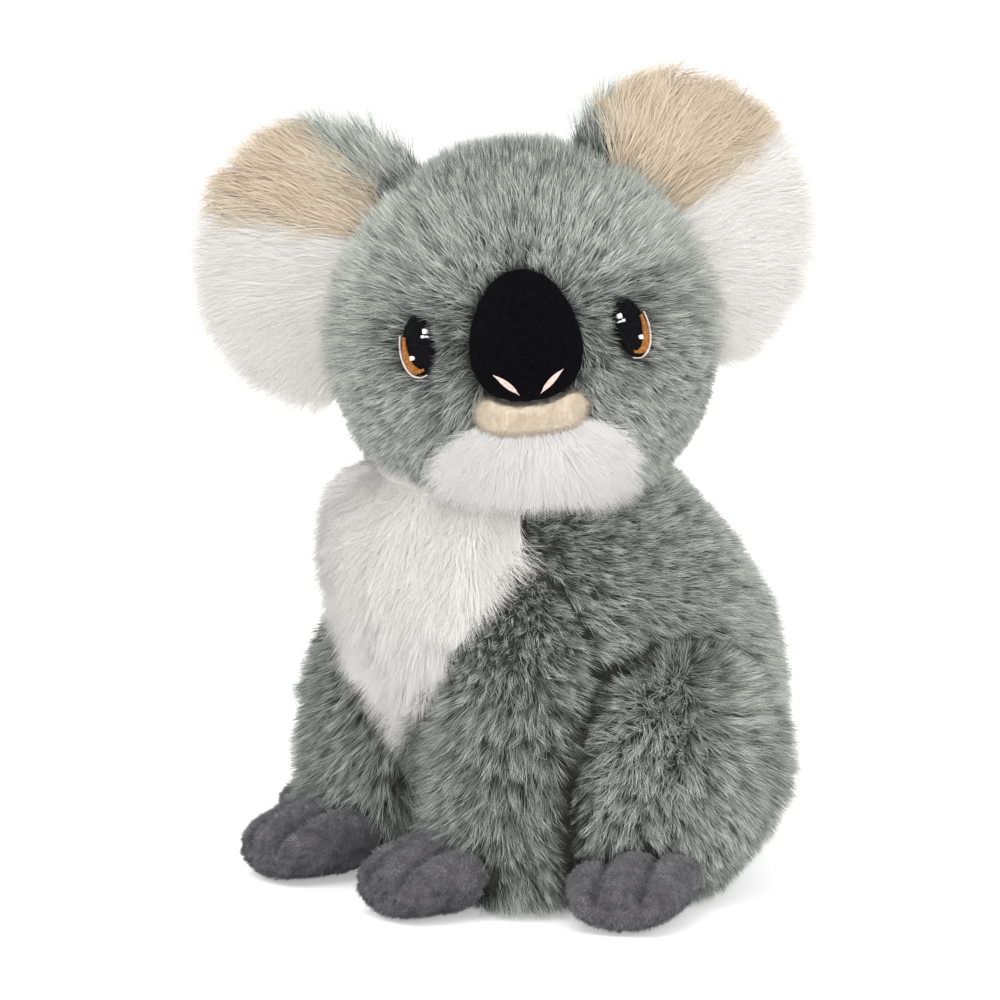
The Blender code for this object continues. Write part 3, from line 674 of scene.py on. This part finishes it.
def roundedForm(name, nodes, settings, fabric):
    # A stuffed pad rebuilt evenly from its packed form and smoothed
    shape = bmesh.new()
    for node in nodes:
        part = meshFrom(weldedForm(node), "part")
        shape.from_mesh(part)
        bpy.data.meshes.remove(part)
    piece = finishPiece(name, meshFrom(shape, name), fabric, "cloth", nodes, settings["fill"])
    even = piece.modifiers.new("even", "REMESH")
    setAll(even, mode="VOXEL", voxel_size=settings["voxel"], use_smooth_shade=True)
    setAll(piece.modifiers.new("soften", "SMOOTH"), iterations=settings["smoothing"])
    applyModifiers(piece)
    piece.data.materials.clear()
    piece.data.materials.append(fabric["cloth"])
    piece.data.shade_smooth()
    return piece


def cornersOf(mesh):
    # Places and smooth normals
    return np.array([v.co for v in mesh.vertices]), np.array([v.normal for v in mesh.vertices])


def surfaceOf(mesh):
    # Triangles and smooth normals of a finished piece, for a nap laid on it
    mesh.calc_loop_triangles()
    triangles = np.array([t.vertices for t in mesh.loop_triangles])
    return [rows[triangles] for rows in cornersOf(mesh)]


napCoat = {
    "density": 4.0e6, "tuftDensity": 2.5e5, "length": 0.0017, "lift": 0.90, "liftSpread": 0.25,
    "bend": 0.3, "droop": 0.0, "turn": 0.5, "tuftTurn": 0.4, "tuftLength": 0.15, "gather": 0.22, "soft": 0.66,
    "depth": 0.0002, "width": 0.00009, "tuftTone": 0.10, "fibreTone": 0.15, "rings": 1,
    "patchScale": 170.0, "patchTurn": 1.2, "patchTone": 0.34, "creaseTone": 0.0, "creaseShort": 0.0,
    "comb": combedAlong((0, 0, -1.0)), "tone": 0.5,
}


def growNap(name, piece, others, **settings):
    growPile(name, dict(napCoat, others=others, surface=surfaceOf(piece.data), **settings))


nosePad = roundedForm("nose_velvet", ["nose_pad"], nose, velvet)
growNap("nose_nap", nosePad, neighboursOf("nose_pad", "nostril_left", "nostril_right"), **nose["nap"])

# The muzzle strip, a raised roll of short fleece between the nose and the chin
muzzle = {
    "voxel": 0.0006, "smoothing": 34, "fill": 0.7, "narrow": 0.97, "grow": 0.0008, "top": -0.0218, "full": -0.0262,
    "tuck": 0.0006, "endFrom": 0.0100, "endTo": 0.0170, "endIn": 0.0018,
    "nap": {"length": 0.0021, "density": 9.0e6, "width": 0.00008, "lift": 1.15, "patchTone": 0.08,
            "tuftTone": 0.04, "fibreTone": 0.12, "patchTurn": 0.3, "tuftTurn": 0.25, "gather": 0.15, "soft": 0.7,
            "fabric": beige},
}
muzzleRoll = roundedForm("muzzle_fleece", ["muzzle_strip"], muzzle, beige)
for vert in muzzleRoll.data.vertices:
    place = headPose.inverted() @ vert.co
    under = 1 - smoothStep(muzzle["top"], muzzle["full"], place.z)  # the nose lies on its upper edge
    end = smoothStep(muzzle["endFrom"], muzzle["endTo"], abs(place.x))
    move = muzzle["grow"] - muzzle["tuck"] * under - muzzle["endIn"] * end
    vert.co = headPose @ Vector((place.x * muzzle["narrow"], place.y - move, place.z))
growNap("muzzle_nap", muzzleRoll, neighboursOf("muzzle_strip", "chin_patch", "head_skin"), **muzzle["nap"])


# Embroidery: rows of satin thread laid on what is under them

stitch = {"endRadius": 0.45, "castFrom": -0.2, "samples": 160, "fewest": 4, "stops": (0, 0.25, 0.5, 0.75, 1)}


def layThreads(name, rows, radius, part, replaced):
    # rows: lists of points, each one stitch. The two end points dive, so they are drawn thin.
    line = bpy.data.curves.new(name, "CURVE")
    setAll(line, dimensions="3D", bevel_depth=radius, bevel_resolution=1, use_fill_caps=True)
    for row in rows:
        spline = line.splines.new("POLY")
        spline.points.add(len(row) - 1)
        for point, place in zip(spline.points, row):
            point.co = (*place, 1.0)
        spline.points[0].radius = spline.points[-1].radius = stitch["endRadius"]
    holder = addObject(name + "_line", line)
    bpy.context.view_layer.update()
    shape = welded(shapeNow(holder))
    bpy.data.objects.remove(holder)
    bmesh.ops.recalc_face_normals(shape, faces=shape.faces)
    mesh = meshFrom(shape, name)
    mesh.shade_smooth()
    finishPiece(name, mesh, threads[part], "cloth", (replaced,))


def drapedOnFace(tree, across, up, rise):
    # The point of the head's surface straight behind this place of the face, raised a little
    start = headPose @ Vector((across, stitch["castFrom"], up))
    way = headPose.to_3x3() @ Vector((0, 1, 0))
    hit, normal = tree.ray_cast(start, way)[:2]
    return hit + normal * rise


def rowsAcross(middle, half, pitch, slant):
    # Parallel stitches over an oval, each where it lies inside
    rows = []
    (across, up), (wide, tall) = middle, half
    count = int(2 * tall / pitch)
    for index in range(count + 1):
        level = up - tall + 2 * tall * index / count
        spots = [(x, level + slant * x) for x in np.linspace(across - wide, across + wide, stitch["samples"])]
        within = [(x, y) for x, y in spots if ((x - across) / wide) ** 2 + ((y - up) / tall) ** 2 < 1]
        if len(within) >= stitch["fewest"]:
            first, last = np.array(within[0]), np.array(within[-1])
            rows.append([tuple(first * (1 - t) + last * t) for t in stitch["stops"]])
    return rows


def bandRows(band, side, pitch):
    # Stitches that run across a crescent, from its inner to its outer edge
    inner, outer, start, end = np.array(band[0]), np.array(band[1]), *band[2:]
    count = int(math.radians(end - start) * eyes["halfHeight"] / pitch)
    rows = []
    for index in range(count + 1):
        share = index / count
        turn = math.radians(start + (end - start) * share)
        full = max(math.sin(math.pi * share), eyes["bandEnd"])
        row = []
        for t in eyes["bandStops"]:
            across, up = (inner + outer) / 2 + (outer - inner) * (t - 0.5) * full
            row.append((side * across * eyes["halfWidth"] * math.cos(turn), up * eyes["halfHeight"] * math.sin(turn)))
        rows.append(row)
    return rows


def makeEye(side, word):
    tree = formTree("head_skin", "head_stuffing")
    wide, tall = eyes["halfWidth"], eyes["halfHeight"]
    pitch = eyes["threadRadius"] * eyes["pitch"]

    def lay(part, rows, radius):
        # Rows are places round the eye's middle, so they are moved to it and laid on the face.
        laid = []
        for row in rows:
            spots = row @ eyeTurn(side).T + (side * eyes["out"], eyes["up"])
            highs = np.full(len(row), eyes["rise"][part])
            highs[[0, -1]] *= eyes["endRise"]
            laid.append([drapedOnFace(tree, *spot, high) for spot, high in zip(spots, highs)])
        layThreads("eye_" + part + "_stitch_" + word, laid, radius, part, "eye_" + part + "_" + word)

    radius, fine = eyes["threadRadius"], eyes["fineRadius"]
    lay("pupil", rowsAcross((0, 0), (wide, tall), pitch, eyes["slant"]), radius)
    lay("iris", bandRows(eyes["iris"], side, pitch), radius)
    lay("rim", bandRows(eyes["rim"], side, pitch), fine)
    glint = []
    for out, up, halfAcross, halfUp in eyes["glints"]:
        glint += rowsAcross((side * out * wide, up * tall), (halfAcross * wide, halfUp * tall),
                            fine * eyes["glintPitch"], 0.0)
    lay("glint", glint, fine)


nostrils = {
    "out": 0.0062, "up": -0.0180, "length": 0.0088, "width": 0.0012, "slant": 42, "threadRadius": 0.00022,
    "lanes": (-1, -0.5, 0, 0.5, 1), "places": 9, "upperEnd": 0.4, "outerLane": 0.15, "rise": 0.0006, "full": 0.0002,
}


def makeNostril(side, word):
    tree = BVHTree.FromBMesh(welded(nosePad.data))
    slant = math.radians(nostrils["slant"])
    rows = []
    for lane in nostrils["lanes"]:
        row = []
        for share in np.linspace(-0.5, 0.5, nostrils["places"]):
            taper = (1 - (2 * share) ** 2) * (1 - nostrils["upperEnd"] * share)  # fuller at the lower end
            along = share * nostrils["length"] * (1 - nostrils["outerLane"] * abs(lane))
            off = lane * nostrils["width"] * 0.5 * taper
            across = side * (nostrils["out"] + along * math.cos(slant) - off * math.sin(slant))
            up = nostrils["up"] + along * math.sin(slant) + off * math.cos(slant)
            row.append(drapedOnFace(tree, across, up, nostrils["rise"] + nostrils["full"] * (1 - abs(lane))))
        rows.append(row)
    layThreads("nostril_stitch_" + word, rows, nostrils["threadRadius"], "nostril", "nostril_" + word)


for side, word in sides:
    makeEye(side, word)
    makeNostril(side, word)
print("eyes and nostrils stitched")


# Ears

ears = {
    "left": {"side": 1, "out": 0.0475, "droop": 0.16, "squeeze": (0.935, 0.97, 0.55), "squeezeFrom": (-0.020, 0.0)},
    "right": {"side": -1, "out": 0.0530, "droop": 0.28, "squeeze": (0.955, 0.925, 0.55),
              "squeezeFrom": (0.010, -0.028)},
    "up": 0.0255, "back": 0.006, "turnBack": 12, "halfWidth": 0.0395, "halfHeight": 0.0425, "fill": 0.5,
    "combFrom": (0.022, 0.004, 0.014),
}
earCoat = dict(
    longPile, length=0.0140, lift=0.60, liftSpread=0.18, bend=0.7, rings=2, depth=0.0, density=2.8e6,
    tuftDensity=6.0e4, gather=0.06, tuftTurn=0.12, turn=0.22, width=0.00010, patchTurn=0.3,
    softBy=[(-0.8, ("rim", 0.80, 0.98))], lengthBy=[(-0.12, ("rim", 0.72, 1.0))],
)
# Behind the ear the pile shortens towards the rim, so none of it shows past the pale front.
earParts = {
    "back": dict(fabric=grey, tone=0.68, rings=1, lift=0.42, density=4.5e6, soft=0.8,
                 lengthBy=[(-0.62, ("facing", 0.35, -0.05), ("rim", 0.55, 0.85))]),
    "white": dict(fabric=white, tone=0.35, rings=1, lift=0.42, density=8.5e6, soft=1.0, fibreTone=0.08,
                  turn=0.28, width=0.00009),
    "tan": dict(fabric=tan, tone=0.56, density=4.2e6, soft=0.9, tuftTurn=0.26, gather=0.15, fibreTone=0.16),
}


def makeEar(word):
    # The ear's cloth is a thin pad in the middle of its packed form
    ear = ears[word]
    side = ear["side"]
    pose = headPose @ poseAt((side * ear["out"], ears["back"], ears["up"]), (90, 0, side * ears["turnBack"]))
    turn, squeeze = np.array(pose.to_3x3()), np.array(ear["squeeze"])
    thinner = (turn * squeeze) @ turn.T  # squeezes along the ear's own axes
    onEar = (*ear["squeezeFrom"], 0.0)
    still = np.array(pose @ Vector(onEar))  # the place that stays as the ear is squeezed
    root = fromHead((side * ears["combFrom"][0], *ears["combFrom"][1:]))

    def squeezed(places):
        return (np.array(places) - still) @ thinner + still

    def rimShare(points, normals):
        local = (points - still) @ turn / squeeze + onEar
        return np.hypot(local[:, 0] / ears["halfWidth"], local[:, 1] / ears["halfHeight"])

    measures = {"rim": rimShare, "facing": lambda p, n: (n @ turn)[:, 2]}
    for part, settings in earParts.items():
        node = "ear_" + part + "_" + word
        movedCloth("ear_" + part + "_cloth_" + word, node, settings["fabric"], ears["fill"], squeezed)
        coat = coatOn(dict(earCoat, **settings), node, None, droop=ear["droop"], measures=measures)
        corners, normals = coat["surface"]
        coat["surface"] = (squeezed(corners), unit(normals @ np.linalg.inv(thinner)))
        coat.update(others=None, comb=lambda p, n: unit(p - root))
        growPile("ear_" + part + "_pile_" + word, coat)


for word in ("left", "right"):
    makeEar(word)
print("ears made")


# Body, bib and seat

bodyFilling = formTree("body_stuffing", "bean_pouch")
squeezedCloth("body_cloth", "body_skin", bodyFilling, grey)
squeezedCloth("bib_cloth", "chest_bib", bodyFilling, white)
seatFill = 0.5
finishPiece("seat_cloth", meshFrom(finerForm("seat_panel"), "seat_cloth"), grey, "cloth", ("seat_panel",), seatFill)

armSkins, thighSkins = [(limb + "_left_skin", limb + "_right_skin") for limb in ("arm", "thigh")]
# Painted shade darkens the front, most of all next to the bib, and painted light brightens the back, where the pile
# lies flatter; the pile is shorter over the shoulders and next to the floor
bodyCoat = dict(
    longPile, length=0.0088, lift=1.20, density=3.2e6, droop=0.08, turn=0.50, tuftTurn=0.40,
    gather=0.38, tuftTone=0.12, endings=("_right", "_middle", "_left"), creaseReach=0.006, tone=0.55,
    toneBy=[(-0.26, ("back", -0.038, -0.080)), (-0.08, ("bib", 0.024, 0.006)), (0.11, ("back", 0.0, 0.03))],
    liftBy=[(-0.28, ("back", 0.0, 0.03))],
    lengthBy=[(-0.35, ("up", 0.080, 0.115)), (-0.60, ("up", 0.050, 0.006))],
)
# The bib is lighter low down: painted light where the arms shade it.
bibCoat = dict(
    whiteCoat, density=5.2e6, turn=0.36, patchTurn=1.1, tuftTurn=0.22, gather=0.10, creaseReach=0.009,
    creaseShort=0.8, creaseTone=0.0, tone=0.5, toneBy=[(0.4, ("up", 0.10, 0.06))],
)
bodyComb = (0, 0.7, -1.0)
bibComb = {"outwards": 8.0, "forward": -0.2}
bibTree = formTree("chest_bib")
bibReach = 0.024


def fromBib(points, normals):
    return distances(bibTree, points, bibReach)


def combBib(points, normals):
    # Down the chest and out from its middle
    return points * (bibComb["outwards"], 0, 0) + (0, bibComb["forward"], -1.0)


measures = {"up": lambda p, n: p[:, 2], "back": lambda p, n: p[:, 1], "bib": fromBib}
bodyPile = coatOn(bodyCoat, "body_skin", bodyFilling, measures=measures, creaseWith=formTree(*thighSkins),
                  comb=combedAlong(bodyComb), sortBy=lambda p: p[:, 0])
growPile("body_pile", bodyPile)
bibPile = coatOn(bibCoat, "chest_bib", bodyFilling, measures=measures, comb=combBib,
                 creaseWith=formTree("head_skin", "chin_patch"))
growPile("bib_pile", bibPile)
print("body made")


# Arms and thighs. The pile is shorter where an arm leaves the shoulder, next to the bib and at a thigh's foot.

# Painted shade darkens the limb pile in the creases.
limbCoat = dict(
    longPile, creaseTone=0.60, length=0.0102, lift=1.05, droop=0.10, density=3.4e6,
    tuftDensity=2.4e5, turn=0.42, tuftTurn=0.40, gather=0.46, tuftTone=0.14, patchTone=0.06, depth=0.0040,
)
# The arms' lower tone is painted shade: the same grey pile as the thighs, drawn darker.
limbs = {
    "arm": dict(tone=0.43, creaseReach=0.0060, creaseShort=0.30,
                lengthBy=[(-0.55, ("up", 0.055, 0.082)), (-0.35, ("bib", 0.015, 0.004))]),
    "thigh": dict(tone=0.55, creaseReach=0.0110, creaseShort=0.75, lengthBy=[(-0.50, ("up", 0.045, 0.006))]),
}
limbComb = {"arm": (0.20, 0.20), "thigh": (0.10, -0.10), "whorl": (0.083, -0.018, 0.052), "round": 0.44, "down": 0.6}
for side, word in sides:
    for limb, settings in limbs.items():
        name = limb + "_" + word
        filling = formTree(name + "_stuffing")
        squeezedCloth(name + "_cloth", name + "_skin", filling, grey)

        def combLimb(points, normals):
            # Down the arm, and round and down from a whorl on the thigh
            out, back = limbComb[limb]
            down = (out * side, back, -1.0) + 0 * points
            if limb == "arm":
                return down
            whorl = np.array(limbComb["whorl"]) * (side, 1, 1)
            return unit(points - whorl) * limbComb["round"] + down * limbComb["down"]

        pressedBy = thighSkins if limb == "arm" else (*armSkins, "body_skin")
        coat = coatOn(dict(limbCoat, **settings), name + "_skin", filling, comb=combLimb, measures=measures,
                      creaseWith=formTree(*pressedBy))
        growPile(name + "_pile", coat)
print("limbs made")


# Paws: each a plush pad blown up between its seams. Two seams part the toes and one runs round the sole.

paws = {
    "front_paw": {"length": 0.0510, "halfWidth": 0.0195, "height": 0.0280, "place": (0.0300, -0.0155, -0.0005),
                  "splay": 2, "tone": 0.40},
    "hind_paw": {"length": 0.0620, "halfWidth": 0.0190, "height": 0.0270, "place": (0.0490, 0.0240, -0.0005),
                 "splay": 40, "tone": 0.57},
    # The seams, in metres and in shares of the paw's width, height and length
    "seamShare": 0.36, "seamWidth": 0.0011, "seamDepth": 0.0036, "toeStarts": (0.24, 0.46), "toeRises": (-0.04, 0.12),
    "soleShare": 0.34, "soleDepth": 0.0009, "soleStarts": (0.30, 0.50),
    # How the pad is rebuilt and blown up, and what is held meanwhile
    "voxel": 0.0014, "smoothing": 3, "fill": 0.8, "drawIn": 0.0009, "pressure": 5.0, "quality": 5, "frames": 14,
    "cap": 0.0028, "heldRear": (0.42, 0.30), "heldUnder": (0.06, 0.0), "hold": 1.3,
    # How the seams, the top and the lower half change the nap: shorter in the seams, painted shade in the seams and
    # low down, and painted light on the top
    "shortSeam": 0.7, "shortSole": 0.6, "darkSeam": 0.55, "seamPower": 0.6, "darkSole": 0.3, "lightTop": 0.12,
    "darkLow": 0.20, "low": (0.60, 0.20), "combDown": 0.6, "density": 4.3e6,
}


def seamShares(local, paw):
    # How near each place of a paw is to a toe seam, and to the seam round the sole
    across, up = local[:, 0], local[:, 1] / paw["height"]
    along = local[:, 2] / paw["length"]
    toe = np.abs(np.abs(across) - paws["seamShare"] * paw["halfWidth"]) / paws["seamWidth"]
    toe = np.exp(-toe ** 2) * smoothStep(*paws["toeStarts"], along)
    toe = toe * smoothStep(*paws["toeRises"], up - paws["soleShare"])
    sole = np.abs(up - paws["soleShare"]) * paw["height"] / paws["seamWidth"]
    return toe, np.exp(-sole ** 2) * smoothStep(*paws["soleStarts"], along)


def blownUp(piece, local, paw):
    # The seams are drawn in and held, and air pressure swells the plush between them.
    mesh = piece.data
    start, normals = cornersOf(mesh)
    toe, sole = seamShares(local, paw)
    depth = paws["drawIn"] + toe * paws["seamDepth"] + sole * paws["soleDepth"]
    placed = start - normals * depth[:, None]
    mesh.vertices.foreach_set("co", placed.astype(np.float32).ravel())
    held = piece.vertex_groups.new(name="held")
    rear = smoothStep(*paws["heldRear"], local[:, 2] / paw["length"])
    under = smoothStep(*paws["heldUnder"], local[:, 1] / paw["height"])
    hold = np.clip(np.maximum.reduce([toe, sole, rear, under]) * paws["hold"], 0, 1)
    for index, share in enumerate(hold):
        held.add([index], float(share), "REPLACE")
    swelling = piece.modifiers.new("swelling", "CLOTH")
    setAll(swelling.settings, vertex_group_mass="held", use_pressure=True, uniform_pressure_force=paws["pressure"],
           quality=paws["quality"])
    swelling.settings.effector_weights.gravity = 0
    setAll(swelling.point_cache, frame_start=1, frame_end=paws["frames"])
    for frameNumber in range(1, paws["frames"] + 1):
        scene.frame_set(frameNumber)
    applyModifiers(piece)
    scene.frame_set(1)
    move = cornersOf(piece.data)[0] - placed
    size = np.linalg.norm(move, axis=1, keepdims=True)
    move = move * np.minimum(1, paws["cap"] / np.maximum(size, tiny))
    piece.data.vertices.foreach_set("co", (placed + move).astype(np.float32).ravel())
    piece.data.update()
    print(piece.name, "swelled by up to", round(float(size.max()) * 1000, 1), "mm, kept", paws["cap"] * 1000)
    setAll(piece.modifiers.new("finer", "SUBSURF"), levels=1, render_levels=1)
    applyModifiers(piece)
    for vert in piece.data.vertices:
        vert.co.z = max(vert.co.z, floorGap)
    piece.data.shade_smooth()


for side, word in sides:
    for kind in ("front_paw", "hind_paw"):
        paw = paws[kind]
        name = kind + "_" + word
        nodes = [name + "_skin", name + "_stuffing"]
        pose = poseAt(sitPoint + Vector(paw["place"]) * Vector((side, 1, 1)), (90, 0, side * paw["splay"]))
        turn, centre = np.array(pose.to_3x3()), np.array(pose.translation)
        pad = roundedForm(name, nodes, paws, dark)
        blownUp(pad, (cornersOf(pad.data)[0] - centre) @ turn, paw)

        def napLength(points, normals):
            toe, sole = seamShares((points - centre) @ turn, paw)
            return 1 - paws["shortSeam"] * np.maximum(toe, paws["shortSole"] * sole)

        def napShading(points, normals):
            # Painted shade in the seams and low down, and painted light on the top where it faces up
            local = (points - centre) @ turn
            toe, sole = seamShares(local, paw)
            seam = np.maximum(toe ** paws["seamPower"], paws["darkSole"] * sole)
            low = smoothStep(*paws["low"], local[:, 1] / paw["height"])
            return paws["lightTop"] * np.maximum(normals[:, 2], 0) - paws["darkSeam"] * seam - paws["darkLow"] * low

        growNap(name + "_nap", pad, neighboursOf(*nodes), fabric=dark, tone=paw["tone"], density=paws["density"],
                comb=combedAlong(turn[:, 2] - (0, 0, paws["combDown"])), toneAt=napShading, lengthAt=napLength)
print("paws made")


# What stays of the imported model: the fillings inside

for name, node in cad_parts.items():
    if not node.hide_render:
        node.data.materials.clear()
        node.data.materials.append(pouchCloth if name == "bean_pouch" else fillCloth)


# Floor, light and camera

studio = {
    "floorSize": 6.0, "floorColour": (0.9, 0.9, 0.9, 1.0), "floorRoughness": 0.9, "floorGlow": 0.35,
    "worldLight": 0.8,
    "lamps": {  # place, what it faces, size and power
        "top": ((0.3, -0.7, 1.5), (0, 0, 0.10), 1.4, 11.0),
        "left": ((-1.2, -1.2, 0.8), (0, 0, 0.12), 1.2, 7.0),
        "right": ((1.3, 0.5, 0.7), (0, 0, 0.12), 1.0, 5.0),
        "front": ((1.3, -0.95, 0.12), (0, 0, 0.10), 1.0, 17.0),
        "behind": ((-0.6, 1.4, 0.7), (0, 0, 0.12), 1.0, 8.0),
    },
}
plainWhite = (1.0, 1.0, 1.0, 1.0)


def areaLamp(name, place, aim, size, power):
    lamp = bpy.data.lights.new(name, "AREA")
    setAll(lamp, shape="DISK", size=size, energy=power)
    holder = addObject(name, lamp)
    holder.location = place
    holder.rotation_euler = (Vector(aim) - Vector(place)).to_track_quat("-Z", "Y").to_euler()


def seenByCamera(tree):
    # A node that gives 1 for what the camera sees, directly or in a reflection
    path = addNode(tree, "LightPath")
    seen = addNode(tree, "Math", operation="MAXIMUM")
    wire(tree, (path, "Is Camera Ray", seen, 0), (path, "Is Glossy Ray", seen, 1))
    return seen


def makeFloor():
    shape = bmesh.new()
    bmesh.ops.create_grid(shape, x_segments=1, y_segments=1, size=studio["floorSize"])
    floor = addObject("floor", meshFrom(shape, "floor"))
    made, tree, shader = newMaterial("pale floor", studio["floorRoughness"])
    setInputs(shader, {"Base Color": studio["floorColour"], "Emission Color": plainWhite})
    level = addNode(tree, "Math", {1: studio["floorGlow"]}, operation="MULTIPLY")
    wire(tree, (seenByCamera(tree), "Value", level, 0), (level, "Value", shader, "Emission Strength"))
    floor.data.materials.append(made)
    floor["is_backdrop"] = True


def whiteBehind():
    # The camera sees white behind the toy, and the toy is lit by a softer grey.
    world = bpy.data.worlds.new("studio")
    scene.world = world
    world.use_nodes = True
    tree = world.node_tree
    back = tree.nodes["Background"]
    mix = addNode(tree, "MapRange", {"To Min": studio["worldLight"], "To Max": 1.0})
    wire(tree, (seenByCamera(tree), "Value", mix, "Value"), (mix, "Result", back, "Strength"))
    setInputs(back, {"Color": plainWhite})


makeFloor()
whiteBehind()
for name, settings in studio["lamps"].items():
    areaLamp(name, *settings)

camera = {
    "target": (0.0, -0.034, 0.112), "azimuth": 55.0, "elevation": 8.5, "distance": 1.6, "lens": 196.4,
    "sensor": 36.0, "nearest": 0.05,
}
turnAbout, tilt = math.radians(camera["azimuth"]), math.radians(camera["elevation"])
towards = Vector((math.sin(turnAbout) * math.cos(tilt), -math.cos(turnAbout) * math.cos(tilt), math.sin(tilt)))
lens = bpy.data.cameras.new("camera")
setAll(lens, lens=camera["lens"], sensor_width=camera["sensor"], clip_start=camera["nearest"])
viewer = addObject("camera", lens)
viewer.location = Vector(camera["target"]) + towards * camera["distance"]
viewer.rotation_euler = (-towards).to_track_quat("-Z", "Y").to_euler()
scene.camera = viewer
scene.view_settings.view_transform = "Standard"

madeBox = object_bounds()
print("pile triangles", sum(pileTriangles))
for box, corners in (("packed model", cadBox), ("finished toy", madeBox)):
    print("box of the", box, [tuple(round(x, 4) for x in c) for c in corners])
